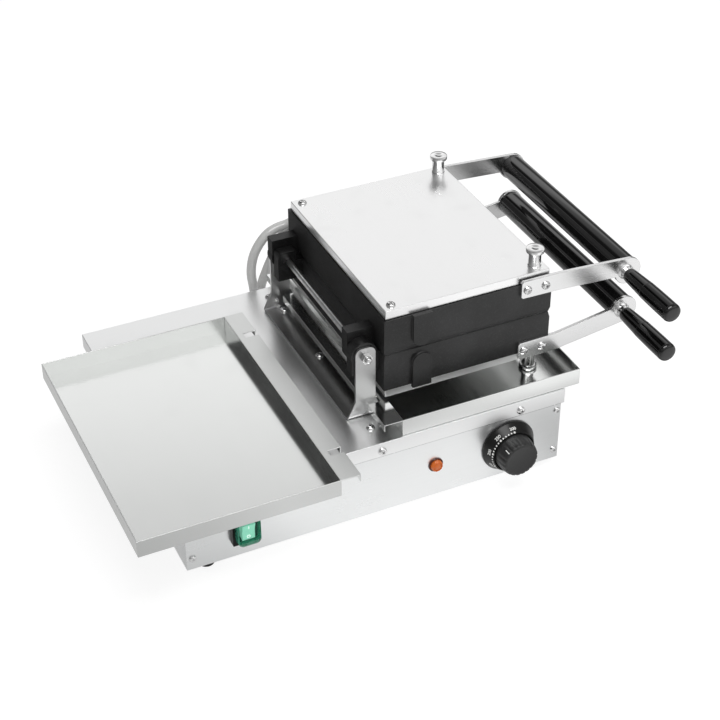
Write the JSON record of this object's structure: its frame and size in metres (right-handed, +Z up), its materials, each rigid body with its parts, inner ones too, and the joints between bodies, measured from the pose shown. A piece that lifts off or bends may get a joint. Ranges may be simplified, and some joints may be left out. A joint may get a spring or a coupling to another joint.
{
  "type": "waffle iron",
  "caption": "Rotary waffle iron on a sheet steel base: hinged pair of castings with lids, straps and bar handles, pull-out trays, dial, lamp and switch on the front panel.",
  "frame": {"origin": "centre of the outer box's bottom face, on the plane of the feet's soles", "axes": "+X right along the front panel towards the handle tubes, +Y from the front panel to the back, +Z up"},
  "size_m": [0.6156, 0.4194, 0.262],
  "materials": {
    "sheet_steel": "brushed stainless sheet",
    "polished_steel": "bright plated",
    "cast_iron": "grainy dark casting",
    "black_gloss": "black gloss",
    "black_plastic": "black satin plastic",
    "rubber": "black rubber",
    "heater_steel": "dull tube",
    "lead_grey": "smooth light grey sleeve",
    "amber_lens": "amber lens",
    "green_cap": "soft see-through cap",
    "green_rocker": "pale green"
  },
  "bodies": {
    "base": {"base_housing": "sheet_steel", "base_cover": "sheet_steel", "front_panel": "sheet_steel", "foot_front_left": "rubber", "foot_front_right": "rubber", "foot_back_left": "rubber", "foot_back_right": "rubber", "hinge_bracket": "sheet_steel", "axle_rod": "polished_steel", "axle_nut_front": "polished_steel", "axle_nut_back": "polished_steel", "thermostat": "black_plastic", "dial_ring": "black_plastic", "pilot_lamp": "amber_lens", "switch_frame": "black_plastic", "switch_cap": "green_cap", "upper_lead_gland": "black_plastic", "lower_lead_gland": "black_plastic", "mains_gland": "black_plastic", "upper_lead": "lead_grey", "lower_lead": "lead_grey"},
    "lower_half": {"lower_casting": "cast_iron", "lower_heater": "heater_steel", "lower_lid": "sheet_steel", "lower_stud_front": "polished_steel", "lower_strap_front": "sheet_steel", "lower_stud_back": "polished_steel", "lower_strap_back": "sheet_steel", "lower_handle_tube": "black_gloss", "lower_handle_neck": "polished_steel", "lower_handle_grip": "black_gloss", "lower_gland": "polished_steel"},
    "upper_half": {"upper_casting": "cast_iron", "upper_heater": "heater_steel", "upper_lid": "sheet_steel", "upper_stud_front": "polished_steel", "upper_strap_front": "sheet_steel", "upper_stud_back": "polished_steel", "upper_strap_back": "sheet_steel", "upper_handle_tube": "black_gloss", "upper_handle_neck": "polished_steel", "upper_handle_grip": "black_gloss", "upper_gland": "polished_steel"},
    "knob": {"thermostat_knob": "black_plastic"},
    "rocker": {"switch_rocker": "green_rocker"},
    "left_tray": {"left_tray": "sheet_steel"},
    "right_tray": {"right_tray": "sheet_steel"}
  },
  "joints": [
    {"name": "flip", "type": "hinge", "parent": "base", "child": "lower_half", "pos_m": [-0.0166, 0.0142, 0.185], "axis": [0, -1, 0], "range_deg": [0, 180], "deforming": ["upper_lead", "lower_lead"]},
    {"name": "open", "type": "hinge", "parent": "lower_half", "child": "upper_half", "pos_m": [-0.0166, 0.0142, 0.185], "axis": [0, 1, 0], "range_deg": [-180, 0], "deforming": ["upper_lead"]},
    {"name": "knob", "type": "hinge", "parent": "base", "child": "knob", "pos_m": [0.1334, -0.1643, 0.0507], "axis": [0, -1, 0], "range_deg": [-41, 199]},
    {"name": "rocker", "type": "hinge", "parent": "base", "child": "rocker", "pos_m": [-0.1767, -0.1538, 0.052], "axis": [1, 0, 0], "range_deg": [-14, 0]},
    {"name": "left_tray", "type": "slide", "parent": "base", "child": "left_tray", "axis": [-1, 0, 0], "range_m": [0, 0.2]},
    {"name": "right_tray", "type": "slide", "parent": "base", "child": "right_tray", "axis": [1, 0, 0], "range_m": [0, 0.15]}
  ]
}
